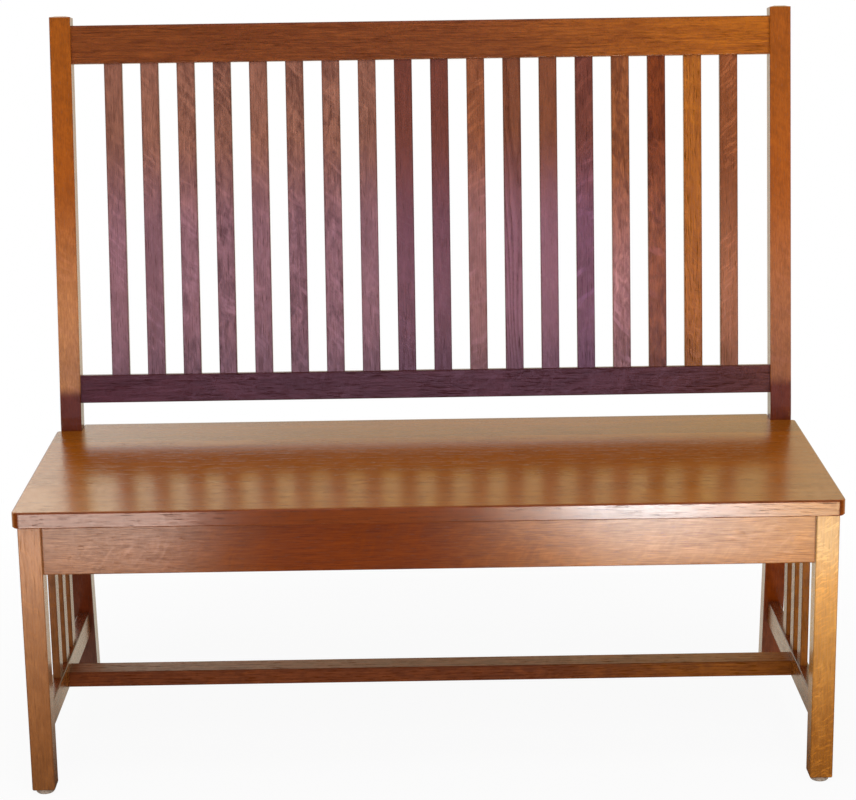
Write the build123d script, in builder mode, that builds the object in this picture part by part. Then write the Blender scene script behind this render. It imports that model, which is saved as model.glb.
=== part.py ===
from build123d import *
import os
from math import cos, radians, sin, tan

os.makedirs("parts", exist_ok=True)

# A high-backed mission settle in oak. X runs along the seat, Y from front to back, Z up.
# The origin is on the floor, in the middle of the whole settle.

# Frame, measured over the outer faces of the legs and posts at seat level
frame_width = 1240.0
frame_depth = 495.0
leg_size = 35.0
seat_height = 461.0

# Seat, glued up from boards that run the whole length
seat_thickness = 25.4
front_overhang = 12.0
side_overhang = 7.0
rear_overhang = 7.0
seat_corner_radius = 13.0
seat_ear_radius = 6.0
seat_edge_radius = 3.0
seat_underside_chamfer = 1.5
seat_post_gap = 0.5
seat_board_names = ("seat_board_front", "seat_board_second", "seat_board_third", "seat_board_rear")
seat_board_shares = (0.28, 0.25, 0.24, 0.23)

# Back posts: upright past the aprons, raked back below them and leaning back above the seat
back_lean = 8.6
leg_rake = 7.2
bend_radius = 150.0
post_rise = 686.0
crown_drop = 2.2
crown_run = 9.0

# Rails and aprons share one thickness and stand in the middle of the leg stock
rail_thickness = 19.0
apron_height = 79.6
crest_rail_height = 64.0
post_above_crest = 16.0
lower_back_rail_height = 47.0
lower_back_rail_start = 35.0
side_rail_height = 41.5
side_rail_bottom = 83.5

# Slats of the back and of the two sides
back_slat_count = 18
back_end_gap = 53.0
side_slat_count = 3
side_slat_gap = 41.0
slat_width = 30.0
slat_thickness = 12.0

# Flat stretcher between the side rails
stretcher_width = 43.0
stretcher_thickness = 25.4

# Joinery
tenon_thickness = 9.5
tenon_shoulder = 8.0
tenon_length = 22.0
mitre_gap = 0.6
slat_tenon_thickness = 6.0
slat_tenon_shoulder = 4.0
slat_tenon_length = 12.0
stretcher_tenon_length = 10.0
bearer_tenon_length = 8.0
glue_gap = 0.15
end_gap = 0.8

# Under the seat: four glued corner blocks and one bearer across the middle, all of one height
block_reach = 60.0
block_tip = 8.0
block_height = 38.0
block_leg_gap = 2.0

# Wood screws that hold the seat down, up through the blocks and the bearer
screw_radius = 2.2
screw_head_radius = 4.2
screw_head_height = 2.8
screw_bite = 14.0
screw_gap = 0.15
screw_place_share = 0.36
head_flat_share = 0.7
screw_tip_share = 0.1

# Foot glides
glide_radius = 14.0
glide_height = 7.4
glide_chamfer = 1.2

# Easing of the edges that hands and legs meet
rail_edge_radius = 1.5
leg_chamfer = 1.2
slat_chamfer = 1.0
foot_chamfer = 2.0

# Length by which a cutter runs past the face it enters
overrun = 5.0

# Heights
lean = radians(back_lean)
rake = radians(leg_rake)
seat_underside = seat_height - seat_thickness
apron_bottom = seat_underside - apron_height
leg_height = seat_underside - glide_height
bend_height = seat_height + bend_radius * tan(lean / 2)
knee_height = apron_bottom - bend_radius * tan(rake / 2)
side_rail_top = side_rail_bottom + side_rail_height

# Places along Y
foot_depth = leg_size / cos(rake)
reach_at_top = post_rise * sin(lean) + leg_size * cos(lean)
reach_at_foot = (knee_height - glide_height) * tan(rake) + foot_depth
overall_depth = front_overhang + frame_depth - leg_size + max(reach_at_top, reach_at_foot)
seat_front_y = -overall_depth / 2
seat_depth = front_overhang + frame_depth + rear_overhang
leg_front_y = seat_front_y + front_overhang
leg_y = leg_front_y + leg_size / 2
leg_rear_y = leg_front_y + leg_size
post_front_y = leg_front_y + frame_depth - leg_size
post_y = post_front_y + leg_size / 2
side_apron_length = post_front_y - leg_rear_y

# Places along X
half_width = frame_width / 2
leg_x = half_width - leg_size / 2
shoulder_x = half_width - leg_size
inset = (leg_size - rail_thickness) / 2
side_face_x = leg_x - rail_thickness / 2

# Heights up the leaning back, measured from its bend
crest_top = post_rise - post_above_crest
crest_bottom = crest_top - crest_rail_height
crest_middle = crest_top - crest_rail_height / 2
lower_rail_top = lower_back_rail_start + lower_back_rail_height
lower_rail_middle = lower_back_rail_start + lower_back_rail_height / 2
back_slat_length = crest_bottom - lower_rail_top
back_slat_pitch = (2 * shoulder_x - 2 * back_end_gap - slat_width) / (back_slat_count - 1)


def post_face(height):
    """Front face of the raked part of a back post at a height."""
    return post_front_y + (knee_height - height) * tan(rake)


side_slat_pitch = slat_width + side_slat_gap
side_panel_y = (leg_rear_y + post_face((side_rail_bottom + side_rail_top) / 2)) / 2
side_slat_length = apron_bottom - side_rail_top

# Middle of the thickness of the leaning back: its own X along the seat, its own Y up the lean
back_middle = Plane(
    origin=(0, post_front_y + leg_size / 2 * cos(lean), bend_height - leg_size / 2 * sin(lean)),
    x_dir=(1, 0, 0),
    z_dir=(0, -cos(lean), sin(lean)),
)


def up_the_back(x, rise):
    """Plane across the leaning back, facing up the lean."""
    return Plane(
        origin=back_middle.from_local_coords((x, rise, 0)), x_dir=(1, 0, 0), z_dir=(0, sin(lean), cos(lean))
    )


def pocket(x, y, z, size_x, size_y, size_z):
    """Mortise cut into the part being built."""
    with Locations((x, y, z)):
        Box(size_x, size_y, size_z, mode=Mode.SUBTRACT)


# Mortises for the two apron tenons that meet in one upright
apron_tenon_height = apron_height - 2 * tenon_shoulder
apron_tenon_z = apron_bottom + apron_height / 2
apron_tenon_long = (leg_size + tenon_thickness) / 2 - mitre_gap
apron_tenon_short = (leg_size - tenon_thickness) / 2 - mitre_gap
apron_mortise_depth = apron_tenon_long + end_gap
mortise_width = tenon_thickness + 2 * glue_gap


def apron_mortises(y, shoulder_y, inward):
    """Two mortises in the left upright centred on y, one from its inner face and one from its
    face at shoulder_y, which looks along inward (+1 to the back, -1 to the front)."""
    depth = apron_mortise_depth + overrun
    height = apron_tenon_height + 2 * glue_gap
    pocket(-shoulder_x + overrun - depth / 2, y, apron_tenon_z, depth, mortise_width, height)
    pocket(-leg_x, shoulder_y + inward * (overrun - depth / 2), apron_tenon_z, mortise_width, depth, height)


def mirrored(name, part):
    """Right-hand twin of a left-hand piece."""
    with BuildPart() as twin:
        mirror(part, about=Plane.YZ)
    twin.part.label = name
    export_step(twin.part, f"parts/{name}.step")
    return twin.part


# Front legs
side_tenon_height = side_rail_height - 2 * tenon_shoulder
side_rail_middle = side_rail_bottom + side_rail_height / 2
with BuildPart() as front_leg:
    with BuildSketch(Plane.XY.offset(glide_height)):
        with Locations((-leg_x, leg_y)):
            Rectangle(leg_size, leg_size)
    extrude(amount=leg_height)
    chamfer(front_leg.faces().sort_by(Axis.Z)[0].edges(), foot_chamfer)
    chamfer(front_leg.edges().filter_by(Axis.Z), leg_chamfer)
    apron_mortises(leg_y, leg_rear_y, 1)
    side_mortise_depth = tenon_length + end_gap + overrun
    pocket(
        -leg_x,
        leg_rear_y + overrun - side_mortise_depth / 2,
        side_rail_middle,
        mortise_width,
        side_mortise_depth,
        side_tenon_height + 2 * glue_gap,
    )
front_leg.part.label = "front_leg_left"
export_step(front_leg.part, "parts/front_leg_left.step")
mirrored("front_leg_right", front_leg.part)


# Back posts
def raked_tenon(gap, start, length):
    """Outline in YZ of the lower rail's rear tenon, running along Y from start to length behind the
    raked face, grown by gap at its top and bottom."""
    low = side_rail_middle - side_tenon_height / 2 - gap
    high = side_rail_middle + side_tenon_height / 2 + gap
    return (
        (post_face(low) + start, low),
        (post_face(low) + length, low),
        (post_face(high) + length, high),
        (post_face(high) + start, high),
    )


post_rear_y = post_front_y + leg_size
post_top_y = post_front_y + post_rise * sin(lean)
post_top_z = bend_height + post_rise * cos(lean)
foot_y = post_face(glide_height)
back_foot_y = foot_y + foot_depth / 2
with BuildPart() as back_post:
    with BuildSketch(Plane.YZ.offset(-half_width)):
        with BuildLine():
            front_line = FilletPolyline(
                (foot_y, glide_height),
                (post_front_y, knee_height),
                (post_front_y, bend_height),
                (post_top_y, post_top_z),
                radius=bend_radius,
            )
            rear_line = FilletPolyline(
                (foot_y + foot_depth, glide_height),
                (post_rear_y, knee_height + leg_size * tan(rake / 2)),
                (post_rear_y, bend_height - leg_size * tan(lean / 2)),
                (post_top_y + leg_size * cos(lean), post_top_z - leg_size * sin(lean)),
                radius=bend_radius - leg_size,
            )
            Line(front_line @ 0, rear_line @ 0)
            Line(front_line @ 1, rear_line @ 1)
        make_face()
    extrude(amount=leg_size)
    chamfer(back_post.faces().sort_by(Axis.Z)[0].edges(), foot_chamfer)
    crown = back_post.faces().sort_by(Axis.Z)[-1]
    chamfer(crown.edges(), crown_run, crown_drop, reference=crown)
    long_edges = ShapeList()
    for side_face in back_post.faces().filter_by(Axis.X):
        long_edges += side_face.edges().sort_by(Axis.Z)[1:-1]
    chamfer(long_edges, leg_chamfer)
    apron_mortises(post_y, post_front_y, -1)
    with BuildSketch(Plane.YZ.offset(-leg_x)):
        with BuildLine():
            Polyline(*raked_tenon(glue_gap, -overrun, tenon_length + end_gap), close=True)
        make_face()
    extrude(amount=mortise_width / 2, both=True, mode=Mode.SUBTRACT)
    with BuildSketch(back_middle):
        with Locations((-shoulder_x - (tenon_length + end_gap - overrun) / 2, crest_middle)):
            Rectangle(tenon_length + end_gap + overrun, crest_rail_height - 2 * tenon_shoulder + 2 * glue_gap)
        with Locations((-shoulder_x - (tenon_length + end_gap - overrun) / 2, lower_rail_middle)):
            Rectangle(tenon_length + end_gap + overrun, lower_back_rail_height - 2 * tenon_shoulder + 2 * glue_gap)
    extrude(amount=mortise_width / 2, both=True, mode=Mode.SUBTRACT)
back_post.part.label = "back_post_left"
export_step(back_post.part, "parts/back_post_left.step")
mirrored("back_post_right", back_post.part)


# Crest rail and lower back rail, tenoned into the posts and mortised for the slats
def back_rail(name, middle, height, slat_side):
    """Rail of the back centred at a rise, with its slat mortises in the edge on slat_side
    (+1 the upper edge, -1 the lower)."""
    with BuildPart() as rail:
        with BuildSketch(back_middle):
            with Locations((0, middle)):
                Rectangle(2 * shoulder_x, height)
        extrude(amount=rail_thickness / 2, both=True)
        fillet(rail.edges().filter_by(Axis.X), rail_edge_radius)
        with BuildSketch(back_middle):
            with Locations((0, middle)):
                Rectangle(2 * shoulder_x + 2 * tenon_length, height - 2 * tenon_shoulder)
        extrude(amount=tenon_thickness / 2, both=True)
        with BuildSketch(up_the_back(0, middle + slat_side * height / 2)):
            with GridLocations(back_slat_pitch, 0, back_slat_count, 1):
                Rectangle(
                    slat_width - 2 * slat_tenon_shoulder + 2 * glue_gap, slat_tenon_thickness + 2 * glue_gap
                )
        extrude(amount=-slat_side * (slat_tenon_length + end_gap), mode=Mode.SUBTRACT)
    rail.part.label = name
    export_step(rail.part, f"parts/{name}.step")


back_rail("crest_rail", crest_middle, crest_rail_height, -1)
back_rail("lower_back_rail", lower_rail_middle, lower_back_rail_height, 1)


# Slats, each with a stub tenon at both ends
def slat(name, foot, length):
    """Slat standing on the plane foot, whose X is the slat's width and whose normal is its length."""
    with BuildPart() as bar:
        with BuildSketch(foot) as section:
            Rectangle(slat_width, slat_thickness)
            chamfer(section.vertices(), slat_chamfer)
        extrude(amount=length)
        with BuildSketch(foot.offset(-slat_tenon_length)):
            Rectangle(slat_width - 2 * slat_tenon_shoulder, slat_tenon_thickness)
        extrude(amount=length + 2 * slat_tenon_length)
    bar.part.label = name
    export_step(bar.part, f"parts/{name}.step")


for number in range(back_slat_count):
    slat_x = (number - (back_slat_count - 1) / 2) * back_slat_pitch
    slat(f"back_slat_{number + 1:02d}", up_the_back(slat_x, lower_rail_top), back_slat_length)

side_slat_places = ("front", "middle", "rear")
for side, x in (("left", -leg_x), ("right", leg_x)):
    for number in range(side_slat_count):
        slat_y = side_panel_y + (number - (side_slat_count - 1) / 2) * side_slat_pitch
        slat(
            f"side_slat_{side}_{side_slat_places[number]}",
            Plane(origin=(x, slat_y, side_rail_top), x_dir=(0, 1, 0), z_dir=(0, 0, 1)),
            side_slat_length,
        )

# Front apron, with mitred tenons, and the rear apron, the same board turned round
apron_inner_y = leg_y + rail_thickness / 2
bearer_tenon_height = block_height - 2 * tenon_shoulder
bearer_tenon_z = seat_underside - block_height / 2
with BuildPart() as front_apron:
    with BuildSketch(Plane.XY.offset(apron_bottom)):
        with Locations((0, leg_y)):
            Rectangle(2 * shoulder_x, rail_thickness)
    extrude(amount=apron_height)
    fillet(front_apron.faces().sort_by(Axis.Z)[0].edges().filter_by(Axis.X), rail_edge_radius)
    with BuildSketch(Plane.XY.offset(apron_bottom + tenon_shoulder)):
        with BuildLine():
            Polyline(
                (-shoulder_x - apron_tenon_long, leg_y - tenon_thickness / 2),
                (shoulder_x + apron_tenon_long, leg_y - tenon_thickness / 2),
                (shoulder_x + apron_tenon_short, leg_y + tenon_thickness / 2),
                (-shoulder_x - apron_tenon_short, leg_y + tenon_thickness / 2),
                close=True,
            )
        make_face()
    extrude(amount=apron_tenon_height)
    bearer_mortise_depth = bearer_tenon_length + end_gap + overrun
    pocket(
        0,
        apron_inner_y + overrun - bearer_mortise_depth / 2,
        bearer_tenon_z,
        mortise_width,
        bearer_mortise_depth,
        bearer_tenon_height + 2 * glue_gap,
    )
front_apron.part.label = "front_apron"
export_step(front_apron.part, "parts/front_apron.step")

frame_middle = Plane.XZ.offset(-(leg_y + post_y) / 2)
with BuildPart() as rear_apron:
    mirror(front_apron.part, about=frame_middle)
rear_apron.part.label = "rear_apron"
export_step(rear_apron.part, "parts/rear_apron.step")

# Side aprons, with mitred tenons to meet the front and rear aprons inside the uprights
with BuildPart() as side_apron:
    with BuildSketch(Plane.XY.offset(apron_bottom)):
        with Locations((-leg_x, (leg_y + post_y) / 2)):
            Rectangle(rail_thickness, side_apron_length)
    extrude(amount=apron_height)
    fillet(side_apron.faces().sort_by(Axis.Z)[0].edges().filter_by(Axis.Y), rail_edge_radius)
    with BuildSketch(Plane.XY.offset(apron_bottom + tenon_shoulder)):
        with BuildLine():
            Polyline(
                (-leg_x - tenon_thickness / 2, leg_rear_y - apron_tenon_long),
                (-leg_x - tenon_thickness / 2, post_front_y + apron_tenon_long),
                (-leg_x + tenon_thickness / 2, post_front_y + apron_tenon_short),
                (-leg_x + tenon_thickness / 2, leg_rear_y - apron_tenon_short),
                close=True,
            )
        make_face()
    extrude(amount=apron_tenon_height)
    with BuildSketch(Plane(origin=(-leg_x, side_panel_y, apron_bottom), x_dir=(0, 1, 0), z_dir=(0, 0, 1))):
        with GridLocations(side_slat_pitch, 0, side_slat_count, 1):
            Rectangle(slat_width - 2 * slat_tenon_shoulder + 2 * glue_gap, slat_tenon_thickness + 2 * glue_gap)
    extrude(amount=slat_tenon_length + end_gap, mode=Mode.SUBTRACT)
side_apron.part.label = "side_apron_left"
export_step(side_apron.part, "parts/side_apron_left.step")
mirrored("side_apron_right", side_apron.part)

# Lower side rails: the rear shoulder follows the rake of the post
stretcher_tenon_width = stretcher_width - 2 * tenon_shoulder
stretcher_tenon_height = stretcher_thickness - tenon_shoulder
stretcher_z = side_rail_bottom + stretcher_thickness / 2
with BuildPart() as side_rail:
    with BuildSketch(Plane.YZ.offset(-leg_x)):
        with BuildLine():
            Polyline(
                (leg_rear_y, side_rail_bottom),
                (post_face(side_rail_bottom), side_rail_bottom),
                (post_face(side_rail_top), side_rail_top),
                (leg_rear_y, side_rail_top),
                close=True,
            )
        make_face()
    extrude(amount=rail_thickness / 2, both=True)
    fillet(side_rail.edges().filter_by(Axis.Y), rail_edge_radius)
    with BuildSketch(Plane.YZ.offset(-leg_x)):
        with BuildLine():
            Polyline(*raked_tenon(0, -overrun, tenon_length), close=True)
        make_face()
        with Locations((leg_rear_y - (tenon_length - overrun) / 2, side_rail_middle)):
            Rectangle(tenon_length + overrun, side_tenon_height)
    extrude(amount=tenon_thickness / 2, both=True)
    with BuildSketch(Plane(origin=(-leg_x, side_panel_y, side_rail_top), x_dir=(0, 1, 0), z_dir=(0, 0, 1))):
        with GridLocations(side_slat_pitch, 0, side_slat_count, 1):
            Rectangle(slat_width - 2 * slat_tenon_shoulder + 2 * glue_gap, slat_tenon_thickness + 2 * glue_gap)
    extrude(amount=-(slat_tenon_length + end_gap), mode=Mode.SUBTRACT)
    stretcher_mortise_depth = stretcher_tenon_length + end_gap + overrun
    pocket(
        -side_face_x + overrun - stretcher_mortise_depth / 2,
        side_panel_y,
        stretcher_z,
        stretcher_mortise_depth,
        stretcher_tenon_width + 2 * glue_gap,
        stretcher_tenon_height + 2 * glue_gap,
    )
side_rail.part.label = "side_lower_rail_left"
export_step(side_rail.part, "parts/side_lower_rail_left.step")
mirrored("side_lower_rail_right", side_rail.part)

# Centre stretcher, laid flat between the lower side rails
with BuildPart() as stretcher:
    with BuildSketch(Plane.YZ):
        with Locations((side_panel_y, stretcher_z)):
            Rectangle(stretcher_width, stretcher_thickness)
    extrude(amount=side_face_x, both=True)
    fillet(stretcher.edges().filter_by(Axis.X), rail_edge_radius)
    with BuildSketch(Plane.YZ):
        with Locations((side_panel_y, stretcher_z)):
            Rectangle(stretcher_tenon_width, stretcher_tenon_height)
    extrude(amount=side_face_x + stretcher_tenon_length, both=True)
stretcher.part.label = "centre_stretcher"
export_step(stretcher.part, "parts/centre_stretcher.step")

# Places of the six seat screws, one through each corner block and two through the bearer
middle_y = (leg_y + post_y) / 2
block_underside = seat_underside - block_height
screw_x = side_face_x - screw_place_share * block_reach
screw_y_reach = middle_y - apron_inner_y - screw_place_share * block_reach
screw_length = block_height + screw_bite


def screw_holes(start, depth):
    """Screw holes cut upwards from a height into the part being built."""
    with BuildSketch(Plane.XY.offset(start)) as holes:
        with Locations((0, middle_y)):
            with GridLocations(screw_x, 2 * screw_y_reach, 3, 2):
                Circle(screw_radius + screw_gap)
    extrude(holes.sketch, amount=depth, mode=Mode.SUBTRACT)


# Bearer across the middle of the frame, under the seat
bearer_length = 2 * (middle_y - apron_inner_y)
with BuildPart() as bearer:
    with BuildSketch(Plane.XY.offset(block_underside)):
        with Locations((0, middle_y)):
            Rectangle(rail_thickness, bearer_length)
    extrude(amount=block_height)
    with BuildSketch(Plane.XY.offset(block_underside + tenon_shoulder)):
        with Locations((0, middle_y)):
            Rectangle(tenon_thickness, bearer_length + 2 * bearer_tenon_length)
    extrude(amount=bearer_tenon_height)
    screw_holes(block_underside, block_height)
bearer.part.label = "seat_bearer"
export_step(bearer.part, "parts/seat_bearer.step")

# Corner blocks, clipped to clear the legs
block_clip = leg_size - rail_thickness + block_leg_gap
with BuildPart() as corner_block:
    with BuildSketch(Plane.XY.offset(block_underside)):
        with BuildLine():
            Polyline(
                (-side_face_x + block_clip, apron_inner_y),
                (-side_face_x + block_reach, apron_inner_y),
                (-side_face_x + block_reach, apron_inner_y + block_tip),
                (-side_face_x + block_tip, apron_inner_y + block_reach),
                (-side_face_x, apron_inner_y + block_reach),
                (-side_face_x, apron_inner_y + block_clip),
                close=True,
            )
        make_face()
    extrude(amount=block_height)
    screw_holes(block_underside, block_height)
corner_block.part.label = "corner_block_front_left"
export_step(corner_block.part, "parts/corner_block_front_left.step")
mirrored("corner_block_front_right", corner_block.part)
with BuildPart() as rear_block:
    mirror(corner_block.part, about=frame_middle)
rear_block.part.label = "corner_block_rear_left"
export_step(rear_block.part, "parts/corner_block_rear_left.step")
mirrored("corner_block_rear_right", rear_block.part)

# Screws, each turned about its own axis and driven up to its head
with BuildPart() as screw:
    with BuildSketch(Plane.XZ):
        with BuildLine():
            Polyline(
                (0, -screw_head_height),
                (screw_head_radius * head_flat_share, -screw_head_height),
                (screw_head_radius, 0),
                (screw_radius, 0),
                (screw_radius, screw_length * (1 - screw_tip_share)),
                (0, screw_length),
                close=True,
            )
        make_face()
    revolve(axis=Axis.Z)
with BuildPart() as seat_screws:
    with Locations((0, middle_y, block_underside)):
        with GridLocations(screw_x, 2 * screw_y_reach, 3, 2):
            add(screw.part)
seat_screws.part.label = "seat_screws"
export_step(seat_screws.part, "parts/seat_screws.step")

# Seat: rounded front corners, notched round the posts, with a rounded ear in front of each post
notch_x = shoulder_x - seat_post_gap
notch_y = post_front_y - seat_post_gap


def open_edges(face):
    """Edges of the seat's upper or lower face, apart from the ones that lie beside the posts."""
    return face.edges() - face.edges().filter_by(Axis.Y).filter_by(lambda edge: edge.center().Y > notch_y)


with BuildPart() as seat:
    with BuildSketch(Plane.XY.offset(seat_underside)) as plan:
        with Locations((0, (seat_front_y + notch_y) / 2)):
            Rectangle(frame_width + 2 * side_overhang, notch_y - seat_front_y)
        with Locations((0, seat_front_y + seat_depth / 2)):
            Rectangle(2 * notch_x, seat_depth)
        fillet(plan.vertices().group_by(Axis.Y)[0], seat_corner_radius)
        fillet(plan.vertices().group_by(Axis.X)[0].sort_by(Axis.Y)[-1], seat_ear_radius)
        fillet(plan.vertices().group_by(Axis.X)[-1].sort_by(Axis.Y)[-1], seat_ear_radius)
    extrude(amount=seat_thickness)
    fillet(open_edges(seat.faces().sort_by(Axis.Z)[-1]), seat_edge_radius)
    chamfer(open_edges(seat.faces().sort_by(Axis.Z)[0]), seat_underside_chamfer)
    screw_holes(seat_underside, screw_bite + end_gap)

board_start = 0
for board_name, board_share in zip(seat_board_names, seat_board_shares):
    with BuildPart() as board:
        add(seat.part)
        with BuildSketch(Plane.XY.offset(seat_underside)):
            with Locations((0, seat_front_y + (board_start + board_share / 2) * seat_depth)):
                Rectangle(frame_width + 2 * (side_overhang + overrun), board_share * seat_depth)
        extrude(amount=seat_thickness, mode=Mode.INTERSECT)
    board.part.label = board_name
    export_step(board.part, f"parts/{board_name}.step")
    board_start += board_share

# Foot glides, stuck under the legs
with BuildPart() as glides:
    with BuildSketch(Plane.XY):
        with Locations((-leg_x, leg_y), (leg_x, leg_y), (-leg_x, back_foot_y), (leg_x, back_foot_y)):
            Circle(glide_radius)
    extrude(amount=glide_height)
    chamfer(glides.edges().group_by(Axis.Z)[0], glide_chamfer)
glides.part.label = "foot_glides"
export_step(glides.part, "parts/foot_glides.step")
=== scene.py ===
"""Mission settle: oak finishes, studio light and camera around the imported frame."""
import math

import bpy
from mathutils import Matrix, Vector

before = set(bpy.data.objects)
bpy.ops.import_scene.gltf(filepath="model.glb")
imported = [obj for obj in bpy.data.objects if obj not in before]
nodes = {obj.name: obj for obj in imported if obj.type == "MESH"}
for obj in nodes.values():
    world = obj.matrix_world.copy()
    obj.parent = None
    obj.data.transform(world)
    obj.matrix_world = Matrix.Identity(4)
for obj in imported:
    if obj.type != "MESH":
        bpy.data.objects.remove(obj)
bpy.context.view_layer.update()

# Camera at the photograph's viewpoint: image sizes in pixels, places in metres, angles in radians
IMAGE_WIDTH = 856
IMAGE_HEIGHT = 800
FOCAL_PIXELS = 2284.5
CENTRE_ROW = 372.6
SENSOR_WIDTH = 36.0
CAMERA_PLACE = Vector((-0.01465, -3.5820, 1.4651))
CAMERA_YAW = 0.0050
CAMERA_PITCH = 0.2387
CAMERA_ROLL = 0.0144


def add_camera():
    """Camera with the pose that was solved from the photograph's edges."""
    data = bpy.data.cameras.new("photo_camera")
    data.sensor_width = SENSOR_WIDTH
    data.lens = FOCAL_PIXELS * SENSOR_WIDTH / IMAGE_WIDTH
    data.shift_y = (CENTRE_ROW - IMAGE_HEIGHT / 2) / IMAGE_WIDTH
    camera = bpy.data.objects.new("photo_camera", data)
    bpy.context.scene.collection.objects.link(camera)
    ahead = Vector((
        math.sin(CAMERA_YAW) * math.cos(CAMERA_PITCH),
        math.cos(CAMERA_YAW) * math.cos(CAMERA_PITCH),
        -math.sin(CAMERA_PITCH),
    ))
    level = Vector((math.cos(CAMERA_YAW), -math.sin(CAMERA_YAW), 0.0))
    above = level.cross(ahead)
    across = math.cos(CAMERA_ROLL) * level - math.sin(CAMERA_ROLL) * above
    upward = math.sin(CAMERA_ROLL) * level + math.cos(CAMERA_ROLL) * above
    turn = Matrix((across, upward, -ahead)).transposed()
    camera.matrix_world = Matrix.Translation(CAMERA_PLACE) @ turn.to_4x4()
    bpy.context.scene.camera = camera


# Node trees

class Tree:
    """Short way to add nodes: an input is a number, a colour, or another node's output."""

    def __init__(self, tree):
        self.tree = tree

    def add(self, kind, inputs=None, **settings):
        node = self.tree.nodes.new(kind)
        for key, value in settings.items():
            setattr(node, key, value)
        for key, value in (inputs or {}).items():
            if isinstance(value, bpy.types.NodeSocket):
                self.tree.links.new(value, node.inputs[key])
            else:
                node.inputs[key].default_value = value
        return node

    def math(self, operation, a, b=0.0, clamp=False):
        node = self.add("ShaderNodeMath", {0: a, 1: b}, operation=operation, use_clamp=clamp)
        return node.outputs[0]

    def total(self, a, b):
        return self.math("ADD", a, b)

    def less(self, a, b):
        return self.math("SUBTRACT", a, b)

    def product(self, a, b):
        return self.math("MULTIPLY", a, b)

    def ramp(self, value, low, high, to_low=0.0, to_high=1.0):
        """Smooth step of value from low..high to to_low..to_high."""
        inputs = {"Value": value, "From Min": low, "From Max": high, "To Min": to_low, "To Max": to_high}
        return self.add("ShaderNodeMapRange", inputs, interpolation_type="SMOOTHSTEP").outputs["Result"]

    def stretched(self, vector, x, y, z):
        """Vector times another one, part by part."""
        inputs = {0: vector, 1: (x, y, z)}
        return self.add("ShaderNodeVectorMath", inputs, operation="MULTIPLY").outputs[0]

    def scaled(self, vector, factor):
        """Vector times one number."""
        inputs = {0: vector, 3: factor}
        return self.add("ShaderNodeVectorMath", inputs, operation="SCALE").outputs[0]

    def split(self, vector):
        """The X, Y and Z of a vector."""
        return self.add("ShaderNodeSeparateXYZ", {0: vector}).outputs

    def noise(self, vector, seed, scale=1.0, detail=3.0, roughness=0.5, distortion=0.0):
        inputs = {
            "Vector": vector, "W": seed, "Scale": scale, "Detail": detail,
            "Roughness": roughness, "Distortion": distortion,
        }
        return self.add("ShaderNodeTexNoise", inputs, noise_dimensions="4D").outputs["Fac"]

    def blend(self, factor, a, b, kind="MIX"):
        settings = dict(data_type="RGBA", blend_type=kind, clamp_result=False)
        return self.add("ShaderNodeMix", {0: factor, 6: a, 7: b}, **settings).outputs[2]

    def place(self):
        """Coordinates of the object, which are those of the frame."""
        return self.add("ShaderNodeTexCoord").outputs["Object"]


def blank_material(name):
    """New material, and its node tree with nothing in it."""
    material = bpy.data.materials.new(name)
    material.use_nodes = True
    material.node_tree.nodes.clear()
    return material, Tree(material.node_tree)


# Oak grain: noise cells to the metre, across the grain and along it
WANDER = (9.0, 2.2)
RIPPLE = (45.0, 7.0)
COARSE_STREAKS = (430.0, 11.0)
FINE_STREAKS = (820.0, 24.0)
PORE_CLUSTERS = (560.0, 34.0)
SINGLE_PORES = (1500.0, 70.0)
FLECK_SWAY = (26.0, 12.0)
FLECK_PATCHES = (20.0, 7.0)
CLOUDS = (95.0, 34.0)
BROAD_TONE = (11.0, 3.0)

# Noise levels between which each mark comes in
STREAK_LEVELS = (0.40, 0.60)
CLUSTER_LEVELS = (0.57, 0.66)
PORE_LEVELS = (0.62, 0.72)
BAND_LEVELS = (0.48, 0.66)
PATCH_LEVELS = (0.36, 0.62)

# How far rings and fleck stray from their true line, in metres
RING_WANDER = 0.030
RING_RIPPLE = 0.006
BAND_SWAY = 0.035

# Where in its width a ring is darkest, and where it is pale again
RING_PEAK = 0.22
RING_END = 0.90

# Share of the first of two noises in the streaks and in the blotch
COARSE_SHARE = 0.55
CLOUD_SHARE = 0.60

# Strength of single pores beside clusters, and of pores and fleck where they are weakest
SINGLE_PORE_DEPTH = 0.80
PORES_BETWEEN_RINGS = 0.35
FLECK_BETWEEN_PATCHES = 0.20

# Noise cells of the fleck's bands, across the grain and along it, before they are scaled to size
BAND_CELLS = (0.25, 1.0)


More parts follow.
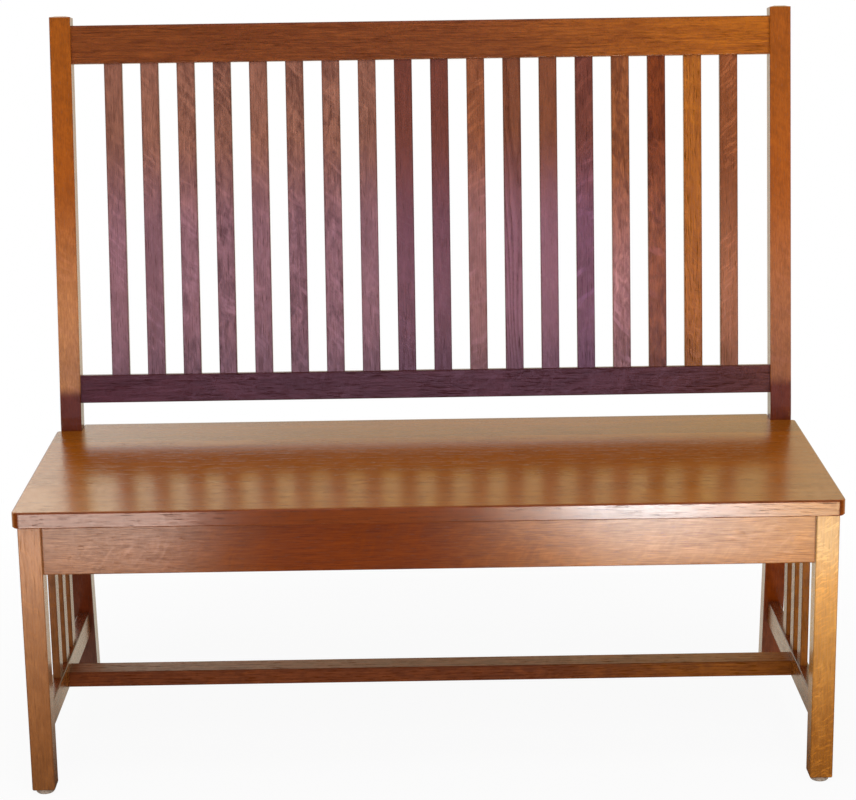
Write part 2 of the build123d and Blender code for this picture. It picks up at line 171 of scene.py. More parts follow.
def grain_group():
    """Oak grain in a board's own coordinates: X across the face, Y through it, Z along the grain.

    All outputs run from 0 to 1, with Blotch round one half."""
    group = bpy.data.node_groups.new("oak_grain", "ShaderNodeTree")
    numbers = (
        "Seed", "Heart X", "Heart Y", "Ring Pitch", "Taper", "Fleck Size", "Fleck Slant", "Fineness",
    )
    group.interface.new_socket("Board", in_out="INPUT", socket_type="NodeSocketVector")
    for name in numbers:
        group.interface.new_socket(name, in_out="INPUT", socket_type="NodeSocketFloat")
    for name in ("Rings", "Streaks", "Pores", "Fleck", "Blotch"):
        group.interface.new_socket(name, in_out="OUTPUT", socket_type="NodeSocketFloat")
    tree = Tree(group)
    given = tree.add("NodeGroupInput").outputs
    board, seed = given["Board"], given["Seed"]
    parts = tree.split(board)

    def marks(place, cells, **look):
        across, along = cells
        return tree.noise(tree.stretched(place, across, across, along), seed, **look)

    # Growth rings, as distance from the tree's heart with a slow wander
    wander = marks(board, WANDER, detail=2.0)
    ripple = marks(board, RIPPLE)
    drift = tree.product(parts["Z"], given["Taper"])
    off_x = tree.total(tree.less(parts["X"], given["Heart X"]), drift)
    off_y = tree.less(parts["Y"], given["Heart Y"])
    squares = tree.total(tree.math("POWER", off_x, 2.0), tree.math("POWER", off_y, 2.0))
    radius = tree.math("SQRT", squares)
    radius = tree.total(radius, tree.product(wander, RING_WANDER))
    radius = tree.total(radius, tree.product(ripple, RING_RIPPLE))
    within = tree.math("FRACT", tree.math("DIVIDE", radius, given["Ring Pitch"]))
    rise = tree.ramp(within, 0.0, RING_PEAK)
    rings = tree.product(rise, tree.ramp(within, RING_PEAK, RING_END, 1.0, 0.0))

    # Streaks and open pores, drawn out along the grain
    close = tree.scaled(board, given["Fineness"])
    coarse = marks(close, COARSE_STREAKS, roughness=0.55)
    fine = marks(close, FINE_STREAKS, detail=2.0)
    streaks = tree.total(tree.product(coarse, COARSE_SHARE), tree.product(fine, 1.0 - COARSE_SHARE))
    streaks = tree.ramp(streaks, *STREAK_LEVELS)
    clusters = tree.ramp(marks(close, PORE_CLUSTERS, detail=2.0, roughness=0.4), *CLUSTER_LEVELS)
    single = tree.ramp(marks(close, SINGLE_PORES, detail=1.0), *PORE_LEVELS, 0.0, SINGLE_PORE_DEPTH)
    pores = tree.math("MAXIMUM", clusters, single)
    pores = tree.product(pores, tree.ramp(rings, 0.0, 0.5, PORES_BETWEEN_RINGS, 1.0))

    # Ray fleck: bright bands that cross the grain at a slant and come and go along the board
    sway = marks(board, FLECK_SWAY, detail=2.0)
    slant = tree.total(parts["Z"], tree.product(parts["X"], given["Fleck Slant"]))
    slant = tree.total(slant, tree.product(sway, BAND_SWAY))
    crossing = tree.add("ShaderNodeCombineXYZ", {0: parts["X"], 1: parts["Y"], 2: slant}).outputs[0]
    crossing = tree.scaled(crossing, given["Fleck Size"])
    bands = marks(crossing, BAND_CELLS, detail=2.0, roughness=0.55)
    patches = marks(board, FLECK_PATCHES, detail=2.0)
    patches = tree.ramp(patches, *PATCH_LEVELS, FLECK_BETWEEN_PATCHES, 1.0)
    fleck = tree.product(tree.ramp(bands, *BAND_LEVELS), patches)

    # Blotch: uneven stain, cloudy close to and broad from afar
    cloud = marks(board, CLOUDS, detail=4.0, roughness=0.62, distortion=0.8)
    broad = marks(board, BROAD_TONE)
    blotch = tree.total(tree.product(cloud, CLOUD_SHARE), tree.product(broad, 1.0 - CLOUD_SHARE))
    tree.add("NodeGroupOutput", {
        "Rings": rings, "Streaks": streaks, "Pores": pores, "Fleck": fleck, "Blotch": blotch,
    })
    return group


# How a board lies: its own X, Y and Z axes seen from the frame, and the lean of the settle's back
UPRIGHT = Matrix(((1, 0, 0), (0, 1, 0), (0, 0, 1)))
UPRIGHT_SIDE = Matrix(((0, 1, 0), (-1, 0, 0), (0, 0, 1))).transposed()
LEVEL_FRONT = Matrix(((0, 0, -1), (0, 1, 0), (1, 0, 0))).transposed()
LEVEL_SIDE = Matrix(((0, 0, 1), (1, 0, 0), (0, 1, 0))).transposed()
LEVEL_SIDE_DOWN = Matrix(((0, 0, -1), (1, 0, 0), (0, -1, 0))).transposed()
FLAT = Matrix(((0, 1, 0), (0, 0, 1), (1, 0, 0))).transposed()
LEAN = math.radians(8.6)


def leaning(lie):
    """The same lie, leaned back with the settle's back."""
    return Matrix.Rotation(-LEAN, 3, "X") @ lie


# Stains as linear colours; where noted, a board also paints light or shade with them
STAINS = {
    "amber": (0.29, 0.072, 0.005),
    "burnt": (0.135, 0.024, 0.006),
    "red_brown": (0.220, 0.088, 0.054),
    "mulberry": (0.221, 0.102, 0.120),
    "plum": (0.124, 0.031, 0.018),
    "deep_plum": (0.122, 0.042, 0.057),
    "russet": (0.21, 0.062, 0.020),
    "sienna": (0.265, 0.080, 0.020),
    "rose": (0.24, 0.102, 0.093),
    "oxblood": (0.160, 0.031, 0.003),
    "cinnamon": (0.240, 0.068, 0.025),
    "wine": (0.155, 0.045, 0.016),
    "orchid": (0.192, 0.078, 0.103),
    "petal": (0.40, 0.180, 0.175),
    "caramel": (0.180, 0.049, 0.011),
    "biscuit": (0.26, 0.090, 0.034),
    "cocoa": (0.172, 0.043, 0.006),
    "wheat": (0.29, 0.076, 0.003),
    "walnut": (0.115, 0.021, 0.0025),
    "dusk": (0.27, 0.088, 0.008),
    "golden": (0.34, 0.104, 0.006),
    "toffee": (0.23, 0.064, 0.014),
    "tan": (0.34, 0.135, 0.042),
    "aubergine": (0.088, 0.017, 0.022),
    "chestnut": (0.155, 0.028, 0.001),
    "ginger": (0.345, 0.098, 0.002),
    "umber": (0.26, 0.060, 0.009),
    "honey": (0.32, 0.100, 0.010),
    "syrup": (0.37, 0.135, 0.022),
    "straw": (0.54, 0.250, 0.047),
    "oat": (0.49, 0.290, 0.105),
    "corn": (0.35, 0.115, 0.010),
    "hazel": (0.265, 0.090, 0.020),
    "fawn": (0.47, 0.195, 0.062),
    "nutmeg": (0.31, 0.108, 0.034),
    "cider": (0.25, 0.068, 0.004),
    "lilac": (0.150, 0.055, 0.090),
    "bronze": (0.26, 0.067, 0.005),
    "ember": (0.26, 0.045, 0.003),
    "pale": (0.50, 0.31, 0.15),
}
GRAIN = grain_group()


# Shades of a stain, as factors on its red, green and blue
LIGHT_WOOD = (1.22, 1.28, 1.36)
DARK_WOOD = (0.62, 0.54, 0.50)
DARK_FIGURE = (0.55, 0.50, 0.55)
DARK_PORE = (0.35, 0.35, 0.35)
# DARK_EDGE darkens a board's long edges as painted shade
DARK_EDGE = (0.5, 0.5, 0.5)
FLECK_LIFT = 1.30
FLECK_BASE = 0.01

# Blotch levels between which the figure fades and the painted shade of an edge comes in
FIGURE_LEVELS = (0.38, 0.62)
EDGE_PAINT_LEVELS = (0.40, 0.56)
LEAST_EDGE_PAINT = 0.35

# Distances from an edge over which a lip's colour and the painted edge shade fade, in metres
LIP_FADE = (0.0005, 0.0045)
EDGE_PAINT_FADE = (0.0006, 0.0024)

# Lacquer: what the grain adds to or takes from its roughness and gloss, and the relief of open grain
STREAK_ROUGHNESS = 0.04
PORE_ROUGHNESS = 0.12
FLECK_SMOOTHNESS = 0.05
PORE_DULLNESS = 0.7
STREAK_DULLNESS = 0.10
STREAK_DEPTH = 0.25
RELIEF_DEPTH = 0.0003
BRUSH_WANDER = 0.3
LACQUER_IOR = 1.5


def reach(name, lie):
    """Half sizes of a node's mesh and its middle, measured along the board's own axes."""
    turned = [lie.transposed() @ vertex.co for vertex in nodes[name].data.vertices]
    low = Vector([min(v[i] for v in turned) for i in range(3)])
    high = Vector([max(v[i] for v in turned) for i in range(3)])
    return (high - low) / 2, lie @ ((low + high) / 2)


def shaded(colour, factors):
    """Colour with its red, green and blue times three factors."""
    return [factor * part for factor, part in zip(factors, colour)] + [1]


def change(stain, base):
    """Factors that turn the base stain into another one."""
    return [new / old for new, old in zip(STAINS[stain], base)] + [1]


def figured(tree, grain, base, rings, streaks, figure, fleck, pores):
    """Stain with rings, streaks, cloudy figure, ray fleck and pores."""
    light = shaded(base, LIGHT_WOOD)
    dark = shaded(base, DARK_WOOD)
    pale = [min(1.0, FLECK_LIFT * part + FLECK_BASE) for part in light[:3]] + [1]
    depth = tree.product(grain["Rings"], rings)
    depth = tree.math("ADD", depth, tree.product(grain["Streaks"], streaks), clamp=True)
    colour = tree.blend(depth, light, dark)
    shade = tree.ramp(grain["Blotch"], *FIGURE_LEVELS, figure, 0.0)
    colour = tree.blend(shade, colour, shaded(dark, DARK_FIGURE))
    colour = tree.blend(tree.product(grain["Fleck"], fleck), colour, pale)
    return tree.blend(tree.product(grain["Pores"], pores), colour, shaded(dark, DARK_PORE))


def changed_along(tree, colour, along, blotch, base, stops, length, swell):
    """Colour whose stain changes along the board, on lines that swell with the blotch; on some boards the
    change paints light or shade.
    """
    bend = tree.total(along, tree.product(blotch, swell))
    (share, stain), *others = stops
    tint = change(stain, base)
    low = length * share + swell / 2
    for share, stain in others:
        high = length * share + swell / 2
        tint = tree.blend(tree.ramp(bend, low, high), tint, change(stain, base))
        low = high
    return tree.blend(1.0, colour, tint, "MULTIPLY")


def painted_edges(tree, colour, parts, half, blotch, edge, edge_paint):
    """Colour with the board's long edges darkened by painted shade, and less so in the dark of the figure.
    """
    gap_x = tree.less(half.x, tree.math("ABSOLUTE", parts["X"]))
    gap_y = tree.less(half.y, tree.math("ABSOLUTE", parts["Y"]))
    edge_paint_share = tree.ramp(tree.math("MAXIMUM", gap_x, gap_y), *EDGE_PAINT_FADE, edge, 0.0)
    edge_paint_share = tree.product(edge_paint_share, tree.ramp(blotch, *EDGE_PAINT_LEVELS, LEAST_EDGE_PAINT, 1.0))
    return tree.blend(edge_paint_share, colour, edge_paint)


def lacquered(tree, grain, colour, roughness, gloss, pores, relief):
    """Inputs of a shader that lays lacquer over the grain."""
    rough = tree.total(tree.product(grain["Streaks"], STREAK_ROUGHNESS), roughness - STREAK_ROUGHNESS / 2)
    rough = tree.total(rough, tree.product(grain["Pores"], PORE_ROUGHNESS))
    rough = tree.less(rough, tree.product(grain["Fleck"], FLECK_SMOOTHNESS))
    sheen = tree.total(tree.product(grain["Pores"], -PORE_DULLNESS * pores), gloss)
    sheen = tree.less(sheen, tree.product(grain["Streaks"], STREAK_DULLNESS))
    height = tree.product(grain["Streaks"], -STREAK_DEPTH)
    height = tree.total(height, tree.product(grain["Pores"], -1))
    bump = tree.add("ShaderNodeBump", {"Strength": relief, "Distance": RELIEF_DEPTH, "Height": height})
    return {
        "Base Color": colour, "Roughness": rough, "Normal": bump.outputs[0],
        "IOR": LACQUER_IOR, "Specular IOR Level": sheen,
    }


def oak(name, lie, stain, seed, stops=(), rings=0.30, streaks=0.55, pores=0.5, fleck=0.3, figure=0.5,
        edge=0.35, fleck_size=120.0, slant=0.6, heart=(0.02, -0.35), pitch=0.0045, taper=0.01,
        roughness=0.27, gloss=0.5, brushed=0.0, swell=0.12, lip=None, lip_share=0.9, relief=0.12,
        rim=None, fineness=1.35):
    """Stained oak for one board, its grain laid along the board.

    stops change the stain along the board: shares of its length from the middle, low end first, each
    with the stain it has there; on the aprons, legs, posts and slats the change also paints light or shade.
    lip is the colour of the narrow face at the low end of the board's X, painted shade on the seat's front
    and on the end rails' tops.
    brushed spreads the gloss sideways on a seat board, whose lacquer was laid on in long strokes.
    heart is where the tree's middle lay, pitch the width of a ring and taper how the rings open along
    the board. relief is how far the grain stands out, fineness how closely its streaks and pores lie,
    and rim the colour of the long edges, a painted highlight in place of their painted dark shade."""
    half, middle = reach(name, lie)
    base = STAINS[stain]
    material, tree = blank_material("oak_" + name)
    inputs = {"Vector": tree.place(), "Location": middle, "Rotation": lie.to_euler()}
    board = tree.add("ShaderNodeMapping", inputs, vector_type="TEXTURE").outputs[0]
    grain = tree.add("ShaderNodeGroup", {
        "Board": board, "Seed": seed, "Heart X": heart[0], "Heart Y": heart[1], "Ring Pitch": pitch,
        "Taper": taper, "Fleck Size": fleck_size, "Fleck Slant": slant, "Fineness": fineness,
    }, node_tree=GRAIN).outputs
    parts = tree.split(board)
    blotch = grain["Blotch"]

    colour = figured(tree, grain, base, rings, streaks, figure, fleck, pores)
    if stops:
        colour = changed_along(tree, colour, parts["Z"], blotch, base, stops, 2 * half.z, swell)
    # On the seat's front face and the end rails' tops the lip is painted shade
    if lip:
        behind_lip = tree.ramp(tree.total(parts["X"], half.x), *LIP_FADE)
        tint = tree.blend(behind_lip, change(lip, base), (1, 1, 1, 1))
        colour = tree.blend(lip_share, colour, tint, "MULTIPLY")
    # Long edges take a painted shade, or the given rim colour as a painted highlight
    edge_paint = [*STAINS[rim], 1] if rim else shaded(shaded(base, DARK_WOOD), DARK_EDGE)
    colour = painted_edges(tree, colour, parts, half, blotch, edge, edge_paint)

    lacquer = lacquered(tree, grain, colour, roughness, gloss, pores, relief)
    if brushed:
        wander = tree.product(tree.less(blotch, 0.5), BRUSH_WANDER)
        lacquer["Tangent"] = tree.add("ShaderNodeCombineXYZ", {0: 1.0, 1: wander}).outputs[0]
        lacquer["Anisotropic"] = tree.product(behind_lip, brushed) if lip else brushed
    shader = tree.add("ShaderNodeBsdfPrincipled", lacquer)
    tree.add("ShaderNodeOutputMaterial", {"Surface": shader.outputs[0]})
    dress(name, material)


def dress(name, material):
    """Puts a material in every slot of a CAD node."""
    mesh = nodes[name].data
    for slot in range(len(mesh.materials)):
        mesh.materials[slot] = material


# Figure of a slat: mottled, calm, plain, wavy, arched, pored or crossed by ray fleck
MOTTLED = dict(figure=0.85, fleck=0.35, rings=0.10, streaks=0.50, fleck_size=90.0, slant=0.9)
CALM = dict(MOTTLED, figure=0.5)
PLAIN = dict(figure=0.30, fleck=0.10, rings=0.10, streaks=0.40, pores=0.3)
WAVY = dict(figure=0.45, fleck=0.55, rings=0.15, streaks=0.45, fleck_size=75.0, slant=-0.7)
ARCHED = dict(
    figure=0.25, fleck=0.15, rings=0.60, streaks=0.35, heart=(0.012, -0.03), pitch=0.0042, taper=0.045,
)
PORED = dict(figure=0.25, fleck=0.20, rings=0.10, streaks=0.85, pores=0.9, fineness=1.7)
RAYED = dict(figure=0.25, fleck=0.95, rings=0.10, streaks=0.35, fleck_size=170.0, slant=-0.9)

# Each slat's stain at the top and at the foot, where it also paints a violet reflection, and its figure,
# from the photo's left to its right
CALM_SLATS = (1, 2, 5, 8)
SLATS = [("red_brown", "mulberry", CALM if number in CALM_SLATS else MOTTLED) for number in range(1, 9)]
SLATS += [
    ("plum", "deep_plum", PLAIN),
    ("plum", "deep_plum", PLAIN),
    ("russet", "rose", WAVY),
    ("wine", "orchid", ARCHED),
    ("wine", "orchid", PLAIN),
    ("plum", "lilac", WAVY),
    ("sienna", "petal", MOTTLED),
    ("oxblood", "cinnamon", MOTTLED),
    ("golden", "golden", PORED),
    ("caramel", "biscuit", RAYED),
]

# Shares of a slat's length from its middle, between which its foot's colour, stain with a painted violet
# reflection, gives way to its top's
SLAT_FADE = (-0.06, 0.28)
LONG_FADE = (-0.30, 0.20)
LONG_FADE_STAINS = ("petal", "biscuit")

# Seeds of the grain: the first board's of each kind, and the step from one to the next
SLAT_SEED, SLAT_SEED_STEP = 11.0, 1.7
SEAT_SEED, SEAT_SEED_STEP = 91.0, 3.3
BLOCK_SEED, BLOCK_SEED_STEP = 131.0, 1.0
END_SLAT_SEED_STEP = 0.7

# Where the tree's heart lay from the middle of a slat and of a leg, in metres across and through it
SLAT_HEART = (0.45, 0.02)
LEG_HEART = (0.3, 0.05)


def dress_back():
    """Crest rail, lower back rail and the eighteen slats, each cut from its own board."""
    oak(
        "crest_rail", leaning(LEVEL_FRONT), "ginger", seed=3.1, stops=((0.0, "cocoa"), (0.5, "ginger")),
        fleck=0.12, heart=(0.01, -0.25), rings=0.15, streaks=0.85, figure=0.3, lip="dusk", lip_share=0.7,
        fineness=1.6,
    )
    oak(
        "lower_back_rail", leaning(LEVEL_FRONT), "plum", seed=7.7,
        stops=((0.2, "aubergine"), (0.55, "plum")), fleck=0.12, figure=0.3,
    )
    for number, (top, foot, figure) in enumerate(SLATS):
        low, high = LONG_FADE if foot in LONG_FADE_STAINS else SLAT_FADE
        look = dict(heart=SLAT_HEART, pitch=0.004, edge=0.5)
        look.update(figure)
        oak(
            f"back_slat_{number + 1:02d}", leaning(UPRIGHT), top, SLAT_SEED + SLAT_SEED_STEP * number,
            stops=((low, foot), (high, top)), **look,
        )


def dress_legs():
    """Front legs, paler upwards as painted light that falls off downwards, the right one with a curly fleck.
    """
    plain = dict(fleck=0.35)
    curly = dict(fleck=0.9, fleck_size=330.0, slant=-0.5)
    legs = {"left": (("hazel", "tan", "tan"), 41.0, plain), "right": (("corn", "straw", "oat"), 47.0, curly)}
    for side, ((foot, middle, top), seed, look) in legs.items():
        oak(
            f"front_leg_{side}", UPRIGHT, middle, seed, stops=((-0.45, foot), (0.2, middle), (0.42, top)),
            heart=LEG_HEART, rings=0.1, figure=0.3, streaks=0.25, pores=0.3, relief=0.02, **look,
        )


def dress_posts():
    """Back posts: dark to just above the seat, pale above that with a painted glare, then amber and bronze.
    """
    posts = {"left": ("burnt", "fawn", 43.5), "right": ("ember", "nutmeg", 49.5)}
    for side, (under_seat, painted_glare, seed) in posts.items():
        # The pale stops just above the seat are a painted glare
        stops = (
            (-0.125, under_seat), (-0.100, "burnt"), (-0.055, "burnt"), (-0.035, painted_glare), (0.03, painted_glare),
            (0.27, "amber"), (0.42, "bronze"),
        )
        oak(
            f"back_post_{side}", UPRIGHT, "amber", seed, stops=stops, fleck=0.15, heart=LEG_HEART,
            rings=0.1, figure=0.35, streaks=0.45, pores=0.3, edge=0.0, swell=0.0, roughness=0.2,
            relief=0.03,
        )


def dress_frame():
    """Aprons front and rear, and the stretcher."""
    # Darker in the middle and lighter at both ends: painted light for the glare that falls on the ends
    stops = ((-0.48, "hazel"), (-0.15, "chestnut"), (-0.02, "chestnut"), (0.28, "syrup"))
    for name, seed in (("front_apron", 61.0), ("rear_apron", 63.0)):
        oak(
            name, LEVEL_FRONT, "syrup", seed, stops=stops, fleck=0.15, heart=(0.05, -0.12), pitch=0.005,
            rings=0.12, streaks=0.8, pores=0.4, figure=0.25, roughness=0.21, relief=0.03, fineness=1.7,
        )
    oak(
        "centre_stretcher", LEVEL_FRONT, "toffee", seed=65.0, stops=((0.1, "umber"), (0.4, "ginger")),
        fleck=0.1, heart=(0.2, -0.1), roughness=0.42, gloss=0.35,
    )


def dress_ends():
    """Each end's apron, low rail and three slats."""
    smooth = dict(pores=0.1, streaks=0.3, relief=0.01)
    ends = {"left": ("hazel", 71.0, 72.3, 73.9), "right": ("honey", 79.0, 80.3, 81.9)}
    for side, (slat_stain, apron_seed, rail_seed, slat_seed) in ends.items():
        oak(f"side_apron_{side}", LEVEL_SIDE, "honey", apron_seed, fleck=0.2)
        # The rails' tops take burnt as painted shade, where the seat shades them
        oak(f"side_lower_rail_{side}", LEVEL_SIDE_DOWN, "honey", rail_seed, fleck=0.2, lip="burnt", **smooth)
        for number, place in enumerate(("front", "middle", "rear")):
            oak(
                f"side_slat_{side}_{place}", UPRIGHT_SIDE, slat_stain,
                slat_seed + END_SLAT_SEED_STEP * number, fleck=0.3, heart=SLAT_HEART, rings=0.1, **smooth,
            )


def dress_seat():
    """Seat boards, flat sawn, with more gloss than the rest, painted shade on the front face and the rear
    board, and a painted highlight along the front arris.
    """
    inner = dict(pores=0.3, edge=0.0)
    # The front board's walnut lip is painted shade on its front face, its russet rim a painted highlight on
    # the arris
    front = dict(pores=0.6, lip="walnut", edge=0.65, rim="russet", relief=0.05, fineness=1.4)
    # The rear board's cider is painted shade, darker where less light reaches under the back
    boards = {
        "front": ("wheat", (0.02, -0.14), front),
        "second": ("wheat", (-0.03, -0.20), inner),
        "third": ("wheat", (0.04, -0.17), inner),
        "rear": ("cider", (-0.01, -0.22), inner),
    }
    for number, (place, (stain, heart, look)) in enumerate(boards.items()):
        oak(
            f"seat_board_{place}", FLAT, stain, SEAT_SEED + SEAT_SEED_STEP * number, fleck=0.08,
            heart=heart, pitch=0.006, taper=0.02, roughness=0.18, gloss=0.65, brushed=0.8, rings=0.20,
            streaks=0.35, figure=0.2, **look,
        )


def dress_hidden():
    """Corner blocks and bearer, left pale under the seat."""
    oak("seat_bearer", LEVEL_SIDE, "pale", seed=121.0, fleck=0.1, roughness=0.6)
    for number, corner in enumerate(("front_left", "front_right", "rear_left", "rear_right")):
        oak(
            f"corner_block_{corner}", LEVEL_FRONT, "pale", BLOCK_SEED + BLOCK_SEED_STEP * number,
            fleck=0.1, roughness=0.6,
        )


# Cloudy finish of small parts: noise levels that its colour and roughness run between, and its relief
MOTTLE_LEVELS = (0.35, 0.65)
MOTTLE_ROUGH_LEVELS = (0.30, 0.70)
MOTTLE_RELIEF = 0.3
MOTTLE_DEPTH = 0.0002


def mottled(name, dark, light, scale, smoothest, roughest, metallic=0.0):
    """Plain material with cloudy colour and roughness, for glides and screws."""
    material, tree = blank_material(name + "_finish")
    cloud = tree.noise(tree.place(), 1.0, scale=scale, detail=5.0, roughness=0.65)
    colour = tree.blend(tree.ramp(cloud, *MOTTLE_LEVELS), (*dark, 1), (*light, 1))
    rough = tree.ramp(cloud, *MOTTLE_ROUGH_LEVELS, smoothest, roughest)
    relief = {"Strength": MOTTLE_RELIEF, "Distance": MOTTLE_DEPTH, "Height": cloud}
    bump = tree.add("ShaderNodeBump", relief).outputs[0]
    shader = tree.add("ShaderNodeBsdfPrincipled", {
        "Base Color": colour, "Roughness": rough, "Normal": bump, "Metallic": metallic,
    })
    tree.add("ShaderNodeOutputMaterial", {"Surface": shader.outputs[0]})
    dress(name, material)


def dress_hardware():
    """Foot glides and seat screws."""
    mottled(
        "foot_glides", (0.42, 0.33, 0.24), (0.60, 0.49, 0.37), scale=300.0, smoothest=0.45, roughest=0.65,
    )
    mottled(
        "seat_screws", (0.45, 0.44, 0.42), (0.62, 0.61, 0.58), scale=900.0, smoothest=0.22, roughest=0.40,
        metallic=1.0,
    )


# Floor: its reach, and where its shadow starts to fade and has gone, in metres from the middle
FLOOR_REACH = 30.0
SHADOW_START = 0.5
SHADOW_END = 1.6

# White share of the floor at the settle as the camera sees it, and the grey that takes the shadow
SHADOW_WHITE = 0.93
FLOOR_GREY = 0.62

# The floor in the settle's gloss: its colour behind the settle, and where in Y that comes in from dim
FLOOR_GLOSS = (1.0, 0.92, 0.74)
GLOSS_TURN = (-0.3, 0.4)
DIM = (0.03, 0.03, 0.03)
WHITE = (1, 1, 1, 1)


def add_floor():
    """Pale floor that meets the background without a line and keeps a soft shadow."""
    mesh = bpy.data.meshes.new("studio_floor")
    far = FLOOR_REACH
    corners = [(-far, -far, 0), (far, -far, 0), (far, far, 0), (-far, far, 0)]
    mesh.from_pydata(corners, [], [(0, 1, 2, 3)])
    floor = bpy.data.objects.new("studio_floor", mesh)
    bpy.context.scene.collection.objects.link(floor)
    material, tree = blank_material("pale_floor")
    place = tree.place()
    away = tree.add("ShaderNodeVectorMath", {0: place}, operation="LENGTH").outputs["Value"]
    path = tree.add("ShaderNodeLightPath").outputs
    behind = tree.ramp(tree.split(place)["Y"], *GLOSS_TURN)
    behind = tree.blend(behind, (*DIM, 1), (*FLOOR_GLOSS, 1))
    level = tree.blend(path["Is Glossy Ray"], WHITE, behind)
    grey = (FLOOR_GREY, FLOOR_GREY, FLOOR_GREY, 1)
    matt = tree.add("ShaderNodeBsdfDiffuse", {"Color": grey}).outputs[0]
    white = tree.add("ShaderNodeEmission", {"Color": level, "Strength": 1.0}).outputs[0]
    fade = tree.ramp(away, SHADOW_START, SHADOW_END, SHADOW_WHITE, 1.0)
    unlit = tree.math("MAXIMUM", path["Is Glossy Ray"], path["Is Transmission Ray"])
    share = tree.math("MAXIMUM", tree.product(path["Is Camera Ray"], fade), unlit)
    lit = tree.add("ShaderNodeMixShader", {0: share, 1: matt, 2: white}).outputs[0]
    tree.add("ShaderNodeOutputMaterial", {"Surface": lit})
    mesh.materials.append(material)


# Backdrop in the settle's gloss, by the way a ray runs: X across, Y to the back and Z upward
LEFT_TURN = (-0.15, -0.03)
RIGHT_TURN = (0.08, 0.15)
FAR_LEFT_TURN = (-0.168, -0.130)
FAR_RIGHT_TURN = (0.145, 0.175)
BACK_TURN = (-0.15, 0.35)
STRIP_START = (0.2635, 0.2655)
STRIP_END = (0.2690, 0.2715)

# Its colours from left to right, below the lower rail and between the slats, then at both far sides
BELOW_RAIL = ((0.95, 1.06, 1.12), (0.75, 0.73, 0.69), (0.75, 0.64, 0.42))
BETWEEN_SLATS = ((1.78, 1.62, 1.06), (0.96, 0.80, 0.36), (1.00, 0.77, 0.27))
FAR_LEFT = (2.90, 2.62, 2.10)
FAR_RIGHT = (1.20, 1.15, 0.78)

# Dark strip, a painted shade in the gloss where the lower rail's reflection begins, and the grey of the soft
# fill
RAIL_STRIP = (0.25, 0.18, 0.10)
FILL_GREY = 0.42


def add_world():
    """White to the camera, a white backdrop behind the settle in its gloss, soft fill for the rest."""
    world = bpy.data.worlds.new("studio")
    bpy.context.scene.world = world
    world.use_nodes = True
    world.node_tree.nodes.clear()
    tree = Tree(world.node_tree)
    way = tree.split(tree.add("ShaderNodeTexCoord").outputs["Generated"])

    def sweep(left, middle, right):
        colour = tree.blend(tree.ramp(way["X"], *LEFT_TURN), (*left, 1), (*middle, 1))
        return tree.blend(tree.ramp(way["X"], *RIGHT_TURN), colour, (*right, 1))

    low = sweep(*BELOW_RAIL)
    high = sweep(*BETWEEN_SLATS)
    high = tree.blend(tree.ramp(way["X"], *FAR_LEFT_TURN, 1.0, 0.0), high, (*FAR_LEFT, 1))
    high = tree.blend(tree.ramp(way["X"], *FAR_RIGHT_TURN), high, (*FAR_RIGHT, 1))
    backdrop = tree.blend(tree.ramp(way["Z"], *STRIP_START), low, (*RAIL_STRIP, 1))
    backdrop = tree.blend(tree.ramp(way["Z"], *STRIP_END), backdrop, high)
    backdrop = tree.blend(tree.ramp(way["Y"], *BACK_TURN), (*DIM, 1), backdrop)
    path = tree.add("ShaderNodeLightPath").outputs
    fill = tree.blend(path["Is Glossy Ray"], (FILL_GREY, FILL_GREY, FILL_GREY, 1), backdrop)
    shown = tree.math("MAXIMUM", path["Is Camera Ray"], path["Is Transmission Ray"])
    sky = tree.blend(shown, fill, WHITE)
    light = tree.add("ShaderNodeBackground", {"Color": sky, "Strength": 1.0}).outputs[0]
    tree.add("ShaderNodeOutputWorld", {"Surface": light})


# Broad lamps: place, what they face, width and height, watts and colour
LOW_AIM = (0.0, 0.0, 0.5)
BROAD_LAMPS = {
    "front_light": ((0.5, -4.6, 1.9), LOW_AIM, (2.4, 1.6), 24.0, (1.0, 0.98, 0.95)),
    "top_light": ((0.0, -3.0, 6.0), LOW_AIM, (5.0, 3.6), 228.0, (1.0, 1.0, 1.0)),
    "back_fill": ((0.0, 3.5, 3.0), LOW_AIM, (2.4, 1.6), 40.0, (1.0, 1.0, 1.0)),
}

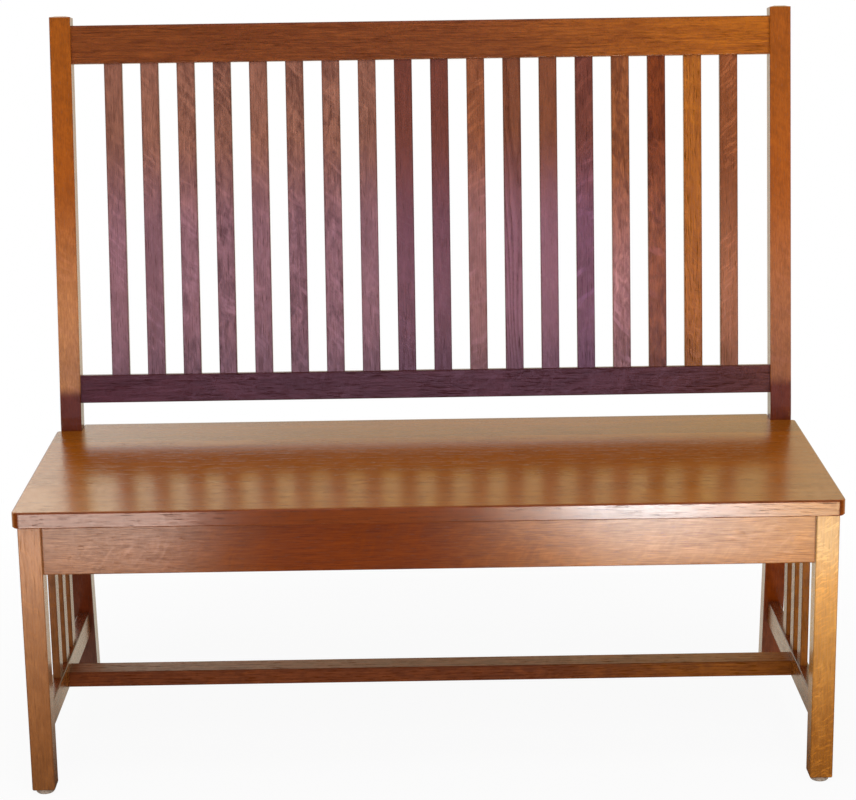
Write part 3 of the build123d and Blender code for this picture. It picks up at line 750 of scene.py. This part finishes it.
# Cards on the floor in front, seen in the lacquer: middle, width and depth, watts and colour
CARD_HEIGHT = 0.02
CARDS = {
    "blush_card": ((0.26, -2.03), (0.18, 0.70), 6.0, (1.0, 0.76, 0.55)),
    "white_card": ((0.455, -2.03), (0.27, 0.70), 22.5, (0.98, 1.0, 1.0)),
    "cream_card": ((0.66, -2.03), (0.14, 0.70), 9.2, (1.0, 0.78, 0.66)),
    "apron_card": ((0.56, -1.48), (0.42, 0.24), 4.4, (0.86, 1.0, 0.97)),
    "warm_card": ((1.08, -1.96), (0.70, 0.68), 28.0, (1.0, 0.56, 0.24)),
    "leg_card": ((1.08, -1.51), (0.70, 0.22), 5.6, (1.0, 0.90, 0.62)),
    "pink_card": ((-0.87, -1.80), (0.76, 1.00), 21.0, (1.0, 0.86, 0.76)),
}

# Cool card behind the camera and below it, which gives the settle's back a violet sheen
COOL_CARD = ((0.0, -4.2, 0.87), (0.0, 0.0, 0.7), (2.4, 0.4), 11.0, (0.86, 0.66, 1.0))


def add_lamp(name, place, aim, size, power, colour, gloss=True):
    """Soft lamp at place, facing aim, width by height, that the camera never sees."""
    data = bpy.data.lights.new(name, "AREA")
    data.shape = "RECTANGLE"
    data.size, data.size_y = size
    data.energy = power
    data.color = colour
    lamp = bpy.data.objects.new(name, data)
    bpy.context.scene.collection.objects.link(lamp)
    lamp.location = place
    lamp.rotation_euler = (Vector(aim) - Vector(place)).to_track_quat("-Z", "Y").to_euler()
    lamp.visible_camera = False
    lamp.visible_glossy = gloss


def add_lamps():
    """Broad light that no gloss shows, then the cards, which show as sheen."""
    for name, settings in BROAD_LAMPS.items():
        add_lamp(name, *settings, gloss=False)
    for name, (middle, size, power, colour) in CARDS.items():
        add_lamp(name, (*middle, CARD_HEIGHT), (*middle, 1.0), size, power, colour)
    add_lamp("cool_card", *COOL_CARD)


dress_back()
dress_legs()
dress_posts()
dress_frame()
dress_ends()
dress_seat()
dress_hidden()
dress_hardware()
add_floor()
add_world()
add_lamps()
add_camera()
bpy.context.scene.view_settings.view_transform = "Standard"
